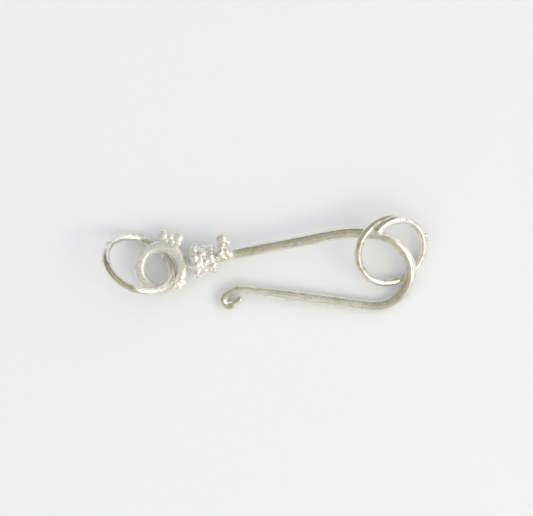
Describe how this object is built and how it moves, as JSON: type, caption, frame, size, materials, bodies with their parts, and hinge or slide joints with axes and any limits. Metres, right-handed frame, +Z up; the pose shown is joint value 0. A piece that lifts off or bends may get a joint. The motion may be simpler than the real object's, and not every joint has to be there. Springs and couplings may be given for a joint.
{
  "type": "hook and eye clasp",
  "caption": "Silver wire hook with a curled tip, an eye loop and granulated neck, fastened in a lapped wire ring, with a plain jump ring at its other end.",
  "frame": {"origin": "centre of the clasp's outline in plan, on the surface that it lies on", "axes": "+X from the plain jump ring to the ring that the hook catches, +Y across the clasp to the shank's side, +Z up"},
  "size_m": [0.0473, 0.0142, 0.0086],
  "materials": {
    "hook_silver": "hand-drawn silver wire, softly polished, with fine lengthwise lines, small dents and a warm grey tarnish",
    "wrap_silver": "fine bright silver wire with dark tarnish between its turns",
    "granule_silver": "bright melted silver grains with dark tarnish where they meet",
    "ring_silver": "polished silver ring wire with small nicks and specks of tarnish"
  },
  "bodies": {
    "root": {"hook": "hook_silver", "neck_wrap": "wrap_silver", "granule_collar": "granule_silver", "granule_rows": "granule_silver", "jump_ring": "ring_silver", "eye_ring": "ring_silver"}
  },
  "joints": []
}
